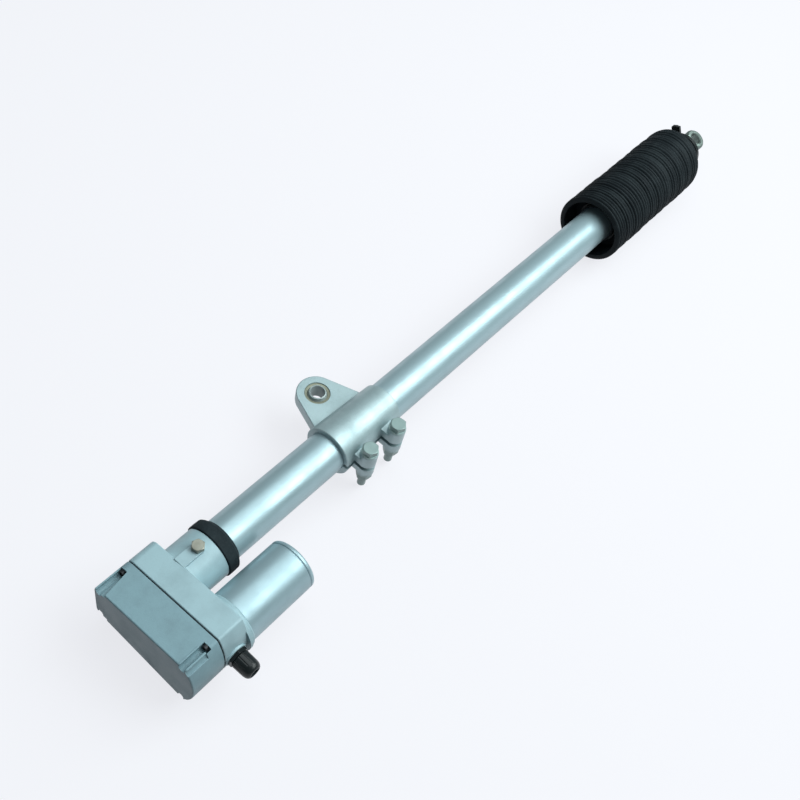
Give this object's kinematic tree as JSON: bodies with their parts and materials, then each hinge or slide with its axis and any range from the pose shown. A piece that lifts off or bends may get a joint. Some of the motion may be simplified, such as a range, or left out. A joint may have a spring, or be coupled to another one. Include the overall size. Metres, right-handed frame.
{
  "type": "electric linear actuator",
  "caption": "Electric linear actuator: a geared motor turns a screw in a long tube and drives a rod with an eye in and out, under a rubber bellows, with a pivot clamp on the tube.",
  "frame": {"origin": "centre of the rod eye's pin hole, with the rod drawn in", "axes": "+X along the tube, towards the rod eye; +Z along the pivot ear's hole; +Y from the tube to the pivot ear, so the motor is on -Y"},
  "size_m": [1.1676, 0.2103, 0.099],
  "materials": {
    "cast_housing": "silver-grey paint on a die casting, satin",
    "silver_tube": "silver paint, satin",
    "clamp_cast": "silver paint over a sand casting, satin",
    "zinc_steel": "bright zinc plating",
    "yellow_zinc": "yellowish zinc plating",
    "plain_steel": "turned steel",
    "gear_steel": "hobbed steel, oiled",
    "chromed_rod": "hard chrome, polished",
    "bronze": "turned bronze",
    "copper": "turned copper",
    "bellows_rubber": "black rubber, matt",
    "black_plastic": "black moulded plastic",
    "pale_plastic": "off-white moulded plastic",
    "dark_magnet": "dark ceramic magnet"
  },
  "bodies": {
    "actuator_body": {"gear_housing": "cast_housing", "gear_cover": "cast_housing", "cover_gasket": "bellows_rubber", "cover_screws": "zinc_steel", "neck_bolt": "yellow_zinc", "tube_collar": "bellows_rubber", "outer_tube": "silver_tube", "front_bush": "bronze", "rod_wiper": "bellows_rubber", "bearing_outer_race": "plain_steel", "bearing_retainer": "plain_steel", "idler_pin": "plain_steel", "gear_plate": "plain_steel", "plate_screws": "zinc_steel", "switch_bracket": "plain_steel", "limit_switches": "black_plastic", "reed_sensor": "black_plastic", "terminal_block": "black_plastic", "bellows": "bellows_rubber", "rear_bellows_tie": "black_plastic", "motor_can": "silver_tube", "motor_end_cap": "silver_tube", "motor_magnets": "dark_magnet", "brush_plate": "black_plastic", "motor_screws": "zinc_steel", "gland_body": "black_plastic", "gland_nut": "black_plastic", "gland_seal": "bellows_rubber"},
    "lead_screw": {"lead_screw": "plain_steel", "bearing_inner_race": "plain_steel", "bearing_cage": "bronze", "screw_lock_nut": "zinc_steel", "screw_gear": "gear_steel", "cam_worm": "pale_plastic", "pulse_magnet": "dark_magnet"},
    "idler": {"idler_gear": "gear_steel"},
    "motor_rotor": {"motor_shaft": "plain_steel", "motor_pinion": "gear_steel", "rotor_core": "gear_steel", "commutator": "copper"},
    "limit_cam": {"cam_wheel": "pale_plastic", "limit_cams": "pale_plastic"},
    "rod": {"inner_tube": "chromed_rod", "drive_nut": "bronze", "nut_guide_ring": "pale_plastic", "rod_eye": "plain_steel", "bellows_adapter": "black_plastic", "front_bellows_tie": "black_plastic"},
    "clamp": {"tube_clamp": "clamp_cast", "clamp_bolts": "zinc_steel", "clamp_washers": "zinc_steel", "clamp_nuts": "zinc_steel", "ear_race": "yellow_zinc"},
    "ear_ball": {"ear_ball": "plain_steel"}
  },
  "joints": [
    {"name": "rod_slide", "type": "slide", "parent": "actuator_body", "child": "rod", "axis": [1, 0, 0], "range_m": [0, 0.61], "deforming": ["bellows"]},
    {"name": "screw_turn", "type": "hinge", "parent": "actuator_body", "child": "lead_screw", "pos_m": [-1.068, 0, 0], "axis": [-1, 0, 0], "range_deg": [-1, 21961]},
    {"name": "idler_turn", "type": "hinge", "parent": "actuator_body", "child": "idler", "pos_m": [-1.09, -0.036, 0], "axis": [-1, 0, 0], "range_deg": [-53332.43, 1]},
    {"name": "rotor_turn", "type": "hinge", "parent": "actuator_body", "child": "motor_rotor", "pos_m": [-1.03, -0.07, 0], "axis": [-1, 0, 0], "range_deg": [-1, 205707.94]},
    {"name": "cam_turn", "type": "hinge", "parent": "actuator_body", "child": "limit_cam", "pos_m": [-1.1313, -0.0235, 0], "axis": [0, 0, -1], "range_deg": [-1, 344.12]},
    {"name": "clamp_slide", "type": "slide", "parent": "actuator_body", "child": "clamp", "axis": [1, 0, 0], "range_m": [-0.13, 0.44]},
    {"name": "ear_ball_tilt", "type": "hinge", "parent": "clamp", "child": "ear_ball", "pos_m": [-0.80895, 0.06, 0], "axis": [1, 0, 0], "range_deg": [-8, 8]}
  ],
  "couplings": [
    {"joint": "screw_turn", "follows": "rod_slide", "rad_per_m": 628.32},
    {"joint": "idler_turn", "follows": "rod_slide", "rad_per_m": -1525.9},
    {"joint": "rotor_turn", "follows": "rod_slide", "rad_per_m": 5885.7},
    {"joint": "cam_turn", "follows": "rod_slide", "rad_per_m": 9.8175}
  ]
}
